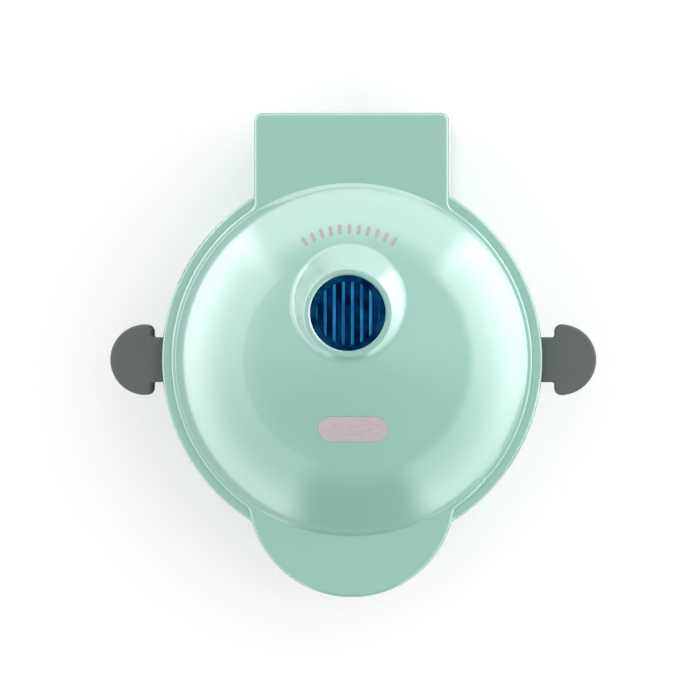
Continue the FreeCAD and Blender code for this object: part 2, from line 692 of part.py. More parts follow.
def donut_plate(upper):
    near = -HALF_GAP
    disc = cylinder(PLATE_R, near - PLATE_T, near)
    skirt = ring(PLATE_R, PLATE_R - SKIRT_T, -SEAT_DEPTH, near - PLATE_T / 2)
    solids = [disc, skirt]
    bottom = near - GROOVE_R - POCKET_T
    centres = [(sx * DONUT_SPREAD, sy * DONUT_SPREAD) for sx in (-1, 1) for sy in (-1, 1)]
    for x, y in centres:
        pocket = cylinder(POCKET_R, bottom, near - PLATE_T / 2, x, y)
        solids.append(pocket.makeFillet(POCKET_EDGE_R, edges_where(pocket, at_height(bottom))))
    plate = fuse(solids)
    for x, y in centres:
        groove = Part.makeTorus(DONUT_R, GROOVE_R, V(x, y, near))
        plate = plate.cut(groove)
        plate = plate.cut(cylinder(POST_HOLLOW_R, bottom - OVER, near - PLATE_T, x, y))
    slot = box(
        0, PLATE_R + OVER, -LATCH_W / 2 - LATCH_FIT, LATCH_W / 2 + LATCH_FIT,
        -LATCH_TOP - LATCH_T - LATCH_FIT, -LATCH_TOP + LATCH_FIT,
    )
    slot = slot.cut(cylinder(LATCH_NOSE_X - LATCH_NOSE_FIT, -DEEP, 0))
    return place(plate.cut(slot).cut(mirror_x(slot)), upper)


def latch(upper, left):
    """A flat pull bar with a round head to hook two fingers behind."""
    z0 = -LATCH_TOP - LATCH_T
    z1 = -LATCH_TOP
    half = LATCH_W / 2
    centre = LATCH_TIP_X - LATCH_HEAD_R
    head = cylinder(LATCH_HEAD_R, z0, z1, centre)
    head = head.common(box(LATCH_NECK_X, DEEP, -DEEP, DEEP, z0, z1))
    head = head.makeFillet(LATCH_EAR_R, edges_where(head, upright))
    bar = box(LATCH_NOSE_X, centre, -half, half, z0, z1)
    outline = fuse([head, bar])
    outline = soften(outline, LATCH_NECK_R, at_neck)
    rims = [e for e in outline.Edges if e.BoundBox.ZLength < 1e-3]
    outline = outline.makeFillet(LATCH_EDGE_R, rims)
    bore = PLATE_R + PLATE_FIT
    wing_in = bore + INNER_WALL + STOP_FIT
    reach = CARRIER_R - CARRIER_WALL - SLIP
    wing_out = math.sqrt(reach ** 2 - (WING_W / 2) ** 2) - LATCH_TRAVEL - STOP_FIT
    wings = box(wing_in, wing_out, -WING_W / 2, WING_W / 2, z0, z1)
    window = box(WINDOW_X, PEG_X + PEG_T + SLIP, -WINDOW_W / 2, WINDOW_W / 2, z0 - OVER, z1 + OVER)
    shape = place(fuse([outline, wings]).cut(window), upper)
    return mirror_x(shape) if left else shape


def at_neck(middle):
    inner_corner = abs(middle.x - LATCH_NECK_X) < 1e-3 and abs(abs(middle.y) - LATCH_W / 2) < 1e-3
    return inner_corner and abs(middle.z + LATCH_TOP + LATCH_T / 2) < 1e-3


def latch_spring(upper, left):
    z = -LATCH_TOP - LATCH_T / 2
    start = WINDOW_X + SPRING_END_FIT + SPRING_WIRE_R
    length = PEG_X - SPRING_END_FIT - SPRING_WIRE_R - start
    coil_r = SPRING_R
    helix = Part.makeHelix(length / SPRING_COILS, length, coil_r)
    section = Part.Wire([Part.makeCircle(SPRING_WIRE_R, V(coil_r, 0, 0), V(0, 1, 0))])
    shape = Part.Wire(helix.Edges).makePipeShell([section], True, True)
    shape.rotate(V(0, 0, 0), V(0, 1, 0), 90)
    shape.translate(V(start, 0, z))
    shape = place(shape, upper)
    return mirror_x(shape) if left else shape


def reflector(upper):
    """A thin metal pan under the heater, hung from the carrier's seat by its flange."""
    top = -SEAT_DEPTH - SEAT_T
    flange = ring(REFLECTOR_FLANGE_R, REFLECTOR_R - REFLECTOR_T, top - REFLECTOR_T, top)
    wall = ring(REFLECTOR_R, REFLECTOR_R - REFLECTOR_T, -REFLECTOR_DEPTH, top)
    floor = cylinder(REFLECTOR_R, -REFLECTOR_DEPTH, -REFLECTOR_DEPTH + REFLECTOR_T)
    pan = fuse([flange, wall, floor])
    for x, y in heater_ends():
        pan = pan.cut(cylinder(HEATER_TUBE_R + LEG_HOLE_FIT, -DEEP, 0, x, y))
    return place(pan, upper)


def heater_ends():
    gap = (360 - HEATER_SWEEP) / 2
    return [polar(HEATER_R, 90 - gap), polar(HEATER_R, 90 + gap)]


def heater(upper):
    """A tubular ring element, open towards the hinge, its ends turned away from the plate."""
    gap = (360 - HEATER_SWEEP) / 2
    loop = Part.makeTorus(HEATER_R, HEATER_TUBE_R, V(0, 0, 0), V(0, 0, 1), 0, 360, HEATER_SWEEP)
    loop.rotate(V(0, 0, 0), V(0, 0, 1), 90 + gap)
    loop.translate(V(0, 0, -HEATER_DEPTH))
    solids = [loop]
    for x, y in heater_ends():
        low = -HEATER_DEPTH - HEATER_LEG
        solids.append(Part.makeSphere(HEATER_TUBE_R, V(x, y, -HEATER_DEPTH)))
        solids.append(cylinder(HEATER_TUBE_R, low, -HEATER_DEPTH, x, y))
        solids.append(cylinder(HEATER_PIN_R, low - HEATER_PIN_LEN, low, x, y))
    return place(fuse(solids), upper)


def heater_clips(upper):
    """Saddle clips over the element, feet on the pan's floor."""
    floor = -REFLECTOR_DEPTH + REFLECTOR_T
    outer = HEATER_TUBE_R + CLIP_FIT + CLIP_T
    half = CLIP_W / 2
    clips = []
    for angle in CLIP_ANGLES:
        arch = Part.makeCylinder(outer, CLIP_W, V(HEATER_R, -half, -HEATER_DEPTH), V(0, 1, 0))
        arch = arch.cut(box(0, DEEP, -half, half, -DEEP, -HEATER_DEPTH))
        legs = box(HEATER_R - outer, HEATER_R + outer, -half, half, floor, -HEATER_DEPTH)
        feet = box(HEATER_R - outer - CLIP_FOOT, HEATER_R + outer + CLIP_FOOT, -half, half,
                   floor, floor + CLIP_T)
        bore = Part.makeCylinder(outer - CLIP_T, CLIP_W, V(HEATER_R, -half, -HEATER_DEPTH), V(0, 1, 0))
        room = box(HEATER_R - outer + CLIP_T, HEATER_R + outer - CLIP_T, -half, half,
                   floor, -HEATER_DEPTH)
        clip = fuse([arch, legs, feet]).cut(bore).cut(room)
        clip.rotate(V(0, 0, 0), V(0, 0, 1), angle)
        clips.append(clip)
    return place(Part.makeCompound(clips), upper)


def thermostat(upper):
    top = -REFLECTOR_DEPTH
    x, y = THERMOSTAT_X, THERMOSTAT_Y
    low = top - THERMOSTAT_H
    body = cylinder(THERMOSTAT_R, low, top, x, y)
    cap = cylinder(THERMOSTAT_R - THERMOSTAT_CAP_W, low - THERMOSTAT_CAP_H, low, x, y)
    tabs = box(x - TAB_REACH, x + TAB_REACH, y - TAB_W / 2, y + TAB_W / 2, low, low + TAB_T)
    return place(fuse([body, cap, tabs]), upper)


def carrier_screws(upper):
    screws = []
    for angle in SCREW_ANGLES:
        x, y = polar(SCREW_CIRCLE_R, angle)
        screws.append(screw(x, y, -HALF_GAP))
    return place(Part.makeCompound(screws), upper)


# Base


def base_round(inset):
    """The tapered round tub, from the parting ring down to the feet."""
    top = BASE_TOP_Z
    return revolve(
        [
            (0, FOOT_H),
            (BASE_FOOT_R - BASE_EDGE_R - inset, FOOT_H),
            (BASE_FOOT_R - inset, FOOT_H + BASE_EDGE_R),
            (BASE_R - inset, top - BASE_EDGE_R),
            (BASE_R - inset, top),
            (0, top),
        ]
    )


def base_housing():
    top = PARTING_Z - HALF_GAP
    tub = base_round(0)
    block = block_prism(BASE_BLOCK_W, BASE_REAR, 0, FOOT_H, top)
    block = block.cut(box(-DEEP, DEEP, SHELF_Y, DEEP, SHELF_Z, DEEP))
    lip_z = top - BASE_LIP_DEPTH
    lip = cylinder(BASE_LIP_R, lip_z, top, 0, LIP_Y)
    lip = lip.makeFillet(BASE_EDGE_R, edges_where(lip, at_height(lip_z)))
    ring_room = cylinder(RIM_R, BASE_TOP_Z, DEEP)
    outside = fuse([tub, block.cut(ring_room), lip.cut(ring_room)])
    half = BASE_BLOCK_W / 2 - WALL
    back = BASE_REAR - WALL
    low_room = box(-half, half, 0, back, FOOT_H - OVER, SHELF_Z - WALL)
    high_room = box(-half, half, 0, SHELF_Y - WALL, FOOT_H - OVER, top + OVER)
    lip_room = cylinder(BASE_LIP_R - WALL, lip_z + WALL, top + OVER, 0, LIP_Y)
    base_room = cylinder(BASE_FOOT_R - BASE_EDGE_R - WALL, FOOT_H - OVER, FOOT_H + WALL + OVER)
    shell = outside.cut(fuse([base_round(WALL), low_room, high_room, lip_room, base_room]))
    ear = cross_cylinder(KNUCKLE_R, EAR_X, EAR_X + EAR_W, HINGE_Y, HINGE_Z)
    ear_end = EAR_X + EAR_W
    stem = box(EAR_X, ear_end, HINGE_Y - KNUCKLE_R, BASE_REAR, SHELF_Z - WALL, SHELF_Z + OVER)
    rise = box(EAR_X, ear_end, HINGE_Y - KNUCKLE_R, HINGE_Y + EAR_BACK, SHELF_Z, HINGE_Z)
    cradle = box(
        -CRADLE_W / 2, CRADLE_W / 2, HINGE_Y - CRADLE_D / 2, HINGE_Y + CRADLE_D / 2,
        SHELF_Z - OVER, HINGE_Z - CRADLE_HUG,
    )
    solids = [shell, ear, stem, rise, mirror_x(ear), mirror_x(stem), mirror_x(rise), cradle]
    skin = fuse([base_round(WALL / 2), cylinder(BASE_R - WALL / 2, BASE_TOP_Z - OVER, PARTING_Z)])
    for angle in SCREW_ANGLES:
        x, y = polar(SCREW_CIRCLE_R, angle)
        post = cylinder(BOSS_R, FOOT_H + BASE_EDGE_R, top - DECK_T, x, y)
        solids.append(post.common(skin))
    boss_z = FOOT_H + COVER_T
    for angle in COVER_ANGLES:
        x, y = polar(COVER_BOSS_R, angle)
        rib = box(COVER_BOSS_R, BASE_R, -RIB_T / 2, RIB_T / 2, boss_z, boss_z + COVER_BOSS_H)
        rib.rotate(V(0, 0, 0), V(0, 0, 1), angle)
        solids += [cylinder(BOSS_R, boss_z, boss_z + COVER_BOSS_H, x, y), rib.common(skin)]
    body = fuse(solids)
    sleeve_seat = cross_cylinder(
        SLEEVE_R + PRESS_FIT, -SLEEVE_SEAT_W / 2, SLEEVE_SEAT_W / 2, HINGE_Y, HINGE_Z
    )
    body = body.cut(sleeve_seat)
    pin_bore = cross_cylinder(PIN_R + PIN_FIT, EAR_X - OVER, ear_end + OVER, HINGE_Y, HINGE_Z)
    body = body.cut(pin_bore).cut(mirror_x(pin_bore))
    for angle in SCREW_ANGLES:
        x, y = polar(SCREW_CIRCLE_R, angle)
        body = body.cut(cylinder(SCREW_R + SCREW_FIT, top - SCREW_LEN - SCREW_ROOM, top, x, y))
    for angle in COVER_ANGLES:
        x, y = polar(COVER_BOSS_R, angle)
        body = body.cut(cylinder(SCREW_R + SCREW_FIT, 0, FOOT_H + SCREW_LEN + SCREW_ROOM, x, y))
    gland = along_gland(GLAND_R - GLAND_STEP + PRESS_FIT, BASE_REAR - 2 * WALL, BASE_REAR + OVER)
    wire_hole_z = SHELF_Z - WALL - OVER
    wire_hole = cylinder(WIRE_R + WIRE_HOLE_FIT, wire_hole_z, SHELF_Z + OVER, WIRE_TURN_X, HINGE_Y)
    return body.cut(gland).cut(wire_hole)


def bottom_cover():
    """The floor pan: it closes the tub and the hinge block from below."""
    z1 = FOOT_H + COVER_T
    disc = cylinder(BASE_FOOT_R - BASE_EDGE_R - WALL - COVER_FIT, FOOT_H, z1)
    half = BASE_BLOCK_W / 2 - WALL - COVER_FIT
    tail = box(-half, half, 0, BASE_REAR - WALL - COVER_FIT, FOOT_H, z1)
    pan = fuse([disc, tail])
    for angle in COVER_ANGLES:
        x, y = polar(COVER_BOSS_R, angle)
        hole = countersink(x, y, 0, COVER_T + OVER).mirror(V(0, 0, 0), V(0, 0, 1))
        hole.translate(V(0, 0, FOOT_H))
        pan = pan.cut(hole)
    for x, y in foot_places():
        pan = pan.cut(cylinder(PLUG_R + PRESS_FIT, 0, z1 + OVER, x, y))
    for index in range(VENT_COUNT):
        x = (index - (VENT_COUNT - 1) / 2) * VENT_PITCH
        pan = pan.cut(box(x - VENT_W / 2, x + VENT_W / 2, -VENT_LEN / 2, VENT_LEN / 2, 0, z1 + OVER))
    return pan


def foot_places():
    return [(sx * FOOT_SPREAD, sy * FOOT_SPREAD) for sy in (-1, 1) for sx in (-1, 1)]


def foot(x, y):
    pad = cylinder(FOOT_R, 0, FOOT_H, x, y)
    pad = pad.makeChamfer(FOOT_EDGE, edges_where(pad, at_height(0)))
    plug = cylinder(PLUG_R, FOOT_H, FOOT_H + COVER_T, x, y)
    bulb = Part.makeCone(PLUG_R + PLUG_BULB, PLUG_TIP_R, PLUG_BULB_H, V(x, y, FOOT_H + COVER_T))
    return fuse([pad, plug, bulb])


def along_gland(radius, y0, y1):
    return Part.makeCylinder(radius, y1 - y0, V(0, y0, GLAND_Z), V(0, 1, 0))


def cord_gland():
    """A bush in the back wall with the bore that a supply cord passes through."""
    face = BASE_REAR + GLAND_FLANGE_T
    flange = along_gland(GLAND_R, BASE_REAR, face)
    body = along_gland(GLAND_R - GLAND_STEP, face - GLAND_LEN, BASE_REAR)
    return fuse([flange, body]).cut(along_gland(GLAND_BORE_R, 0, DEEP))


def terminal_places():
    middle = TERMINAL_Y + TERMINAL_D / 2
    return [(step * TERMINAL_W / 3, middle) for step in (-1, 0, 1)]


def terminal_block():
    z0 = FOOT_H + COVER_T
    half = TERMINAL_W / 2
    block = box(-half, half, TERMINAL_Y, TERMINAL_Y + TERMINAL_D, z0, z0 + TERMINAL_H)
    for x, y in terminal_places():
        block = block.cut(cylinder(TERMINAL_SCREW_R + PIN_FIT, z0 + TERMINAL_FLOOR, DEEP, x, y))
        entry = Part.makeCylinder(TERMINAL_ENTRY_R, DEEP, V(x, y, TERMINAL_ENTRY_Z), V(0, 1, 0))
        block = block.cut(entry)
    return block


def terminal_screws():
    z0 = FOOT_H + COVER_T + TERMINAL_FLOOR
    z1 = z0 + TERMINAL_SCREW_H
    screws = []
    for x, y in terminal_places():
        slot = box(x - DRIVE_W, x + DRIVE_W, y - DRIVE_T / 2, y + DRIVE_T / 2, z1 - DRIVE_DEPTH, z1)
        screws.append(cylinder(TERMINAL_SCREW_R, z0, z1, x, y).cut(slot))
    return Part.makeCompound(screws)


def thermal_fuse():
    z = PARTING_Z - REFLECTOR_DEPTH - FUSE_R
    half = FUSE_LEN / 2
    body = cross_cylinder(FUSE_R, -half, half, FUSE_Y, z)
    leads = cross_cylinder(FUSE_LEAD_R, -half - FUSE_LEAD, half + FUSE_LEAD, FUSE_Y, z)
    return fuse([body, leads])


def hinge_pin(left):
    end = EAR_X + EAR_W + KNUCKLE_GAP + OUTER_LUG_W - PIN_SHORT
    shape = cross_cylinder(PIN_R, PIN_X, end, HINGE_Y, HINGE_Z)
    return mirror_x(shape) if left else shape


def hinge_sleeve():
    half = SLEEVE_LEN / 2
    outer = cross_cylinder(SLEEVE_R, -half, half, HINGE_Y, HINGE_Z)
    return outer.cut(cross_cylinder(SLEEVE_BORE_R, -half, half, HINGE_Y, HINGE_Z))


def thermostat_lead():
    """From the thermostat's tab to the element's far end, below the parting plane."""
    tab_x = THERMOSTAT_X - TAB_REACH + OVER
    tab_z = -REFLECTOR_DEPTH - THERMOSTAT_H
    pin_z = -HEATER_DEPTH - HEATER_LEG - HEATER_PIN_LEN
    end_x, end_y = heater_ends()[1]
    middle = V((tab_x + end_x) / 2 - LEAD_BOW, (THERMOSTAT_Y + end_y) / 2 + LEAD_BOW, tab_z - WIRE_DROP)
    return tube_along(
        [
            (tab_x, THERMOSTAT_Y, tab_z - WIRE_END),
            (tab_x, THERMOSTAT_Y, tab_z - WIRE_DROP),
            tuple(middle),
            (end_x, end_y, pin_z - WIRE_DROP),
            (end_x, end_y, pin_z - WIRE_END),
        ],
        WIRE_R,
    )


def base_wires():
    """The loom from the hinge down to the terminals, and the leads of the element."""
    x = WIRE_TURN_X
    loom = [
        (-LOOM_GAP, HINGE_Y, HINGE_Z),
        (x, HINGE_Y, HINGE_Z),
        (x, HINGE_Y, SHELF_Z - LOOM_FALL),
        (x, HINGE_Y - 3, FOOT_H + COVER_T + TERMINAL_H),
        (x, TERMINAL_Y + TERMINAL_D + OVER, TERMINAL_ENTRY_Z + WIRE_R + OVER),
    ]
    end_x, end_y = heater_ends()[0]
    low = PARTING_Z - HEATER_DEPTH - HEATER_LEG - HEATER_PIN_LEN
    lead = [
        (end_x, end_y, low - WIRE_END),
        (end_x, end_y, low - WIRE_DROP),
        (10, TERMINAL_Y - 14, TERMINAL_ENTRY_Z + WIRE_R),
        (8, TERMINAL_Y - WIRE_HOLE_FIT, TERMINAL_ENTRY_Z),
    ]
    return Part.makeCompound(
        [tube_along(loom, WIRE_R), tube_along(lead, WIRE_R), place(thermostat_lead(), False)]
    )


def lid_wires():
    """The loom from the hinge up and over the carrier to the upper element, and its other lead."""
    x = -WIRE_TURN_X
    end_x, end_y = heater_ends()[0]
    high = PARTING_Z + HEATER_DEPTH + HEATER_LEG + HEATER_PIN_LEN
    over_carrier = RIM_Z + WIRE_R + LOOM_GAP
    edge_y = SCREW_CIRCLE_R
    loom = [
        (LOOM_GAP, HINGE_Y, HINGE_Z),
        (x, HINGE_Y, HINGE_Z),
        (x, HINGE_Y, over_carrier + 0.4),
        (x, edge_y + 3.7, over_carrier + 0.5),
        (x, edge_y - 1.9, over_carrier + 1.0),
        (x + 0.3, edge_y - 5.7, over_carrier + 4.9),
        (x + 0.7, edge_y - 9.1, over_carrier + 8.9),
        (end_x, edge_y - 16.3, over_carrier + 12.0),
        (end_x, end_y + 6, high + 0.4),
        (end_x, end_y, high + 2.2),
        (end_x, end_y, high + WIRE_END),
    ]
    return Part.makeCompound([tube_along(loom, WIRE_R), place(thermostat_lead(), True)])


def cover_screws():
    screws = []
    for angle in COVER_ANGLES:
        x, y = polar(COVER_BOSS_R, angle)
        piece = screw(x, y, 0)
        piece = piece.mirror(V(0, 0, 0), V(0, 0, 1))
        piece.translate(V(0, 0, FOOT_H))
        screws.append(piece)
    return Part.makeCompound(screws)


def pieces():
    yield "lid_cover", lid_cover()
    yield "lid_badge", lid_badge()
    yield "lid_marks", lid_marks()
    yield "indicator_lens", indicator_lens()
    yield "lens_retainer", lens_retainer()
    yield "lamp_holder", lamp_holder()
    yield "indicator_lamp", indicator_lamp()
    for upper, half in ((True, "upper"), (False, "lower")):
        yield half + "_carrier", carrier(upper)
        yield half + "_carrier_screws", carrier_screws(upper)
        yield half + "_donut_plate", donut_plate(upper)
        yield half + "_reflector", reflector(upper)
        yield half + "_heater", heater(upper)
        yield half + "_heater_clips", heater_clips(upper)
        yield half + "_thermostat", thermostat(upper)
        for left, side in ((True, "left"), (False, "right")):
            yield f"{half}_latch_{side}", latch(upper, left)
            yield f"{half}_latch_spring_{side}", latch_spring(upper, left)
    for left, side in ((True, "left"), (False, "right")):
        yield "hinge_pin_" + side, hinge_pin(left)
    yield "hinge_sleeve", hinge_sleeve()
    yield "lid_wires", lid_wires()
    yield "base_wires", base_wires()
    yield "base_housing", base_housing()
    yield "bottom_cover", bottom_cover()
    yield "cover_screws", cover_screws()
    yield "cord_gland", cord_gland()
    yield "terminal_block", terminal_block()
    yield "terminal_screws", terminal_screws()
    yield "thermal_fuse", thermal_fuse()
    for name, (x, y) in zip(("front_left", "front_right", "rear_left", "rear_right"), foot_places()):
        yield name + "_foot", foot(x, y)


def main():
    os.makedirs("parts", exist_ok=True)
    for name, shape in pieces():
        shape.translate(V(0, FOOTPRINT_SHIFT, 0))
        valid = "" if shape.isValid() else "  NOT VALID"
        print(f"{name}: {len(shape.Solids)} solid(s), {shape.Volume / 1000:.2f} cm3{valid}")
        shape.exportStep(f"parts/{name}.step")


main()
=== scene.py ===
"""Looks for the donut maker: materials, latch springs copied onto the lid and base, floor, light and
camera.
"""

import math

import bpy
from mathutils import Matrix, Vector


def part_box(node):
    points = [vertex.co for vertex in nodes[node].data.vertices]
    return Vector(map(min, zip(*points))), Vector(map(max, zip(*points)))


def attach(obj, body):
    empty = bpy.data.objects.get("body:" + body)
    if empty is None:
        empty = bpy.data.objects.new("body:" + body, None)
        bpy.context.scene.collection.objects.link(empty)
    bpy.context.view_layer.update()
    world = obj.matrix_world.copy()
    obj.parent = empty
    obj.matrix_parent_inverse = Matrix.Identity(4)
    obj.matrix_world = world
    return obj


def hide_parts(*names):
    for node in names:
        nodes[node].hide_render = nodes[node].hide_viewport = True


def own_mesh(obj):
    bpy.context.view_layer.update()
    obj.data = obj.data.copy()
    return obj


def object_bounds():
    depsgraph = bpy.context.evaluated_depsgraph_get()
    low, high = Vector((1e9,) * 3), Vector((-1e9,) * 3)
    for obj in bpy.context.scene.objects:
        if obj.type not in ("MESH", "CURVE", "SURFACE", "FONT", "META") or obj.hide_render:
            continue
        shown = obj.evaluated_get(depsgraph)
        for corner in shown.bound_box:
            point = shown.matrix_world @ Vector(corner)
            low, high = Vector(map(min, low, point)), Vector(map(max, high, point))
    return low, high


MM = 0.001

MIX_FIRST, MIX_SECOND, MIX_RESULT = 6, 7, 2  # the colour sockets of a Mix node
MIDDLE = (0.35, 0.65)  # the part of a noise's range that most of it lies in
BROAD = (0.3, 0.7)
UPPER = (0.35, 0.7)
PEAKS = (0.4, 0.75)  # only its lighter blotches

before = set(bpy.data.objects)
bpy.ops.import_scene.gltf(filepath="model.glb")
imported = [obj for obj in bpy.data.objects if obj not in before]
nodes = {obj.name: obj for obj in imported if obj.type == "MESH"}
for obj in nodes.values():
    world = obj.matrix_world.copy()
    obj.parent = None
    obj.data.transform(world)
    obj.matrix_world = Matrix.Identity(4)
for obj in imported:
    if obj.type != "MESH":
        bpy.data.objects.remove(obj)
cad_low, cad_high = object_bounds()


# Colours


def linear(red, green, blue):
    """An 8-bit display colour as a linear RGBA value."""

    def one(value):
        share = value / 255
        return share / 12.92 if share <= 0.04045 else ((share + 0.055) / 1.055) ** 2.4

    return (one(red), one(green), one(blue), 1.0)


def shade(colour, factor):
    """A colour made darker or lighter by a factor, up to full."""
    return tuple(min(1.0, c * factor) for c in colour[:3]) + (1.0,)


# Materials


class Graph:
    """Short ways to build a node tree."""

    def __init__(self, tree):
        self.tree = tree

    def add(self, kind, **properties):
        node = self.tree.nodes.new("ShaderNode" + kind)
        for key, value in properties.items():
            setattr(node, key, value)
        return node

    def link(self, source, target):
        self.tree.links.new(source, target)

    def feed(self, socket, value):
        """Sets a socket to a number or colour, or links another node's output to it."""
        if isinstance(value, (int, float, tuple)):
            socket.default_value = value
        else:
            self.link(value, socket)

    def parts(self, vector):
        """The X, Y and Z outputs of a vector."""
        node = self.add("SeparateXYZ")
        self.link(vector, node.inputs["Vector"])
        return node.outputs

    def levelled(self, vector):
        """A vector with its height taken away."""
        node = self.add("VectorMath", operation="MULTIPLY")
        self.link(vector, node.inputs[0])
        node.inputs[1].default_value = (1, 1, 0)
        return node.outputs["Vector"]

    def maths(self, operation, first, second=0.0):
        node = self.add("Math", operation=operation)
        self.feed(node.inputs[0], first)
        self.feed(node.inputs[1], second)
        return node.outputs["Value"]

    def spread(self, value, low, high, to_low=0.0, to_high=1.0, smooth=False):
        """value mapped from low..high to to_low..to_high, clamped."""
        node = self.add("MapRange", interpolation_type="SMOOTHSTEP" if smooth else "LINEAR")
        node.inputs["From Min"].default_value = low
        node.inputs["From Max"].default_value = high
        node.inputs["To Min"].default_value = to_low
        node.inputs["To Max"].default_value = to_high
        self.link(value, node.inputs["Value"])
        return node.outputs["Result"]

    def blend(self, factor, first, second):
        """A colour between two, each a colour value or another node's output."""
        node = self.add("Mix", data_type="RGBA")
        self.link(factor, node.inputs["Factor"])
        self.feed(node.inputs[MIX_FIRST], first)
        self.feed(node.inputs[MIX_SECOND], second)
        return node.outputs[MIX_RESULT]


class Look(Graph):
    """One material: a Principled shader with procedural nodes in object coordinates (metres)."""

    def __init__(self, name, **inputs):
        self.material = bpy.data.materials.new("look_" + name)
        self.material.use_nodes = True
        super().__init__(self.material.node_tree)
        self.shader = self.tree.nodes["Principled BSDF"]
        self.place = self.add("TexCoord").outputs["Object"]
        self.height = None
        for socket, value in inputs.items():
            self.shader.inputs[socket.replace("_", " ")].default_value = value

    def scaled(self, factors):
        """Object coordinates stretched by three factors, for grain that runs one way."""
        mapping = self.add("Mapping")
        mapping.inputs["Scale"].default_value = factors
        self.link(self.place, mapping.inputs["Vector"])
        return mapping.outputs["Vector"]

    def noise(self, size, detail=3.0, place=None, roughness=0.5):
        """Noise from 0 to 1 whose blotches are about size metres wide."""
        node = self.add("TexNoise")
        node.inputs["Scale"].default_value = 1 / size
        node.inputs["Detail"].default_value = detail
        node.inputs["Roughness"].default_value = roughness
        self.link(place or self.place, node.inputs["Vector"])
        return node.outputs["Fac"]

    def cells(self, size):
        """Distance to the nearest of scattered points that lie about size metres apart."""
        node = self.add("TexVoronoi", feature="F1")
        node.inputs["Scale"].default_value = 1 / size
        self.link(self.place, node.inputs["Vector"])
        return node.outputs["Distance"]

    def colour(self, output):
        self.link(output, self.shader.inputs["Base Color"])

    def roughness(self, output):
        self.link(output, self.shader.inputs["Roughness"])

    def relief(self, output, depth, strength=1.0):
        """Adds surface relief depth metres deep on top of what is there."""
        node = self.add("Bump")
        node.inputs["Strength"].default_value = strength
        node.inputs["Distance"].default_value = depth
        self.link(output, node.inputs["Height"])
        if self.height is not None:
            self.link(self.height, node.inputs["Normal"])
        self.height = node.outputs["Normal"]
        self.link(self.height, self.shader.inputs["Normal"])


MINT = linear(117, 180, 163)
LATCH_GREY = linear(88, 93, 94)
CHARCOAL = linear(58, 61, 62)

RIB_PITCH = 3 * MM  # from one rib of the lens to the next
RIB_HIGHLIGHT_EDGE, RIB_HIGHLIGHT_PEAK = 0.2, 0.06  # where the painted highlight on a rib starts and is brightest, in pitches from its middle
LENS_FIELD_R = 10.4 * MM  # the round field that the ribs fill
LENS_FIELD_FADE = 0.4 * MM


def mint_shell():
    """Glossy moulded ABS: even mint, faint flow variation, very slight orange peel."""
    look = Look(
        "mint_shell", Coat_Weight=1.0, Coat_Roughness=0.08, Coat_IOR=1.6, Specular_IOR_Level=1.0
    )
    flow = look.noise(60 * MM, detail=2)
    fine = look.noise(1.6 * MM, detail=4)
    tone = look.blend(look.spread(flow, *MIDDLE), shade(MINT, 0.975), shade(MINT, 1.02))
    look.colour(look.blend(look.spread(fine, *BROAD, 0.0, 0.35), tone, shade(MINT, 0.97)))
    look.roughness(look.spread(fine, *BROAD, 0.13, 0.19))
    look.relief(look.noise(3.2 * MM, detail=1), 0.006 * MM, 0.35)
    return look


def grained_plastic(name, colour, grain, depth, rough):
    """Matte moulded plastic with the fine sparked texture of its tool."""
    look = Look(name, IOR=1.46, Specular_IOR_Level=0.4)
    blotch = look.noise(9 * MM, detail=3)
    grit = look.noise(grain, detail=5, roughness=0.65)
    tone = look.blend(look.spread(blotch, *MIDDLE), shade(colour, 0.94), shade(colour, 1.05))
    look.colour(look.blend(look.spread(grit, *UPPER, 0.0, 0.5), tone, shade(colour, 1.22)))
    look.roughness(look.spread(grit, *BROAD, rough - 0.07, rough + 0.07))
    look.relief(grit, depth, 0.8)
    return look


def badge_metal():
    """Pale rose-silver foil with hairlines along its length."""
    base = linear(176, 164, 170)
    look = Look("badge_metal", Metallic=0.55)
    hair = look.noise(0.35 * MM, detail=3, place=look.scaled((0.06, 1, 1)))
    look.colour(look.blend(look.spread(hair, *BROAD), shade(base, 0.9), shade(base, 1.08)))
    look.roughness(look.spread(hair, *BROAD, 0.34, 0.48))
    look.relief(hair, 0.01 * MM, 0.5)
    return look


def mark_ink():
    """Printed pinkish-grey ink, a little uneven."""
    base = linear(186, 176, 178)
    look = Look("mark_ink", IOR=1.45)
    fleck = look.noise(0.5 * MM, detail=4)
    look.colour(look.blend(look.spread(fleck, *MIDDLE), shade(base, 0.93), shade(base, 1.05)))
    look.roughness(look.spread(fleck, *BROAD, 0.4, 0.55))
    return look


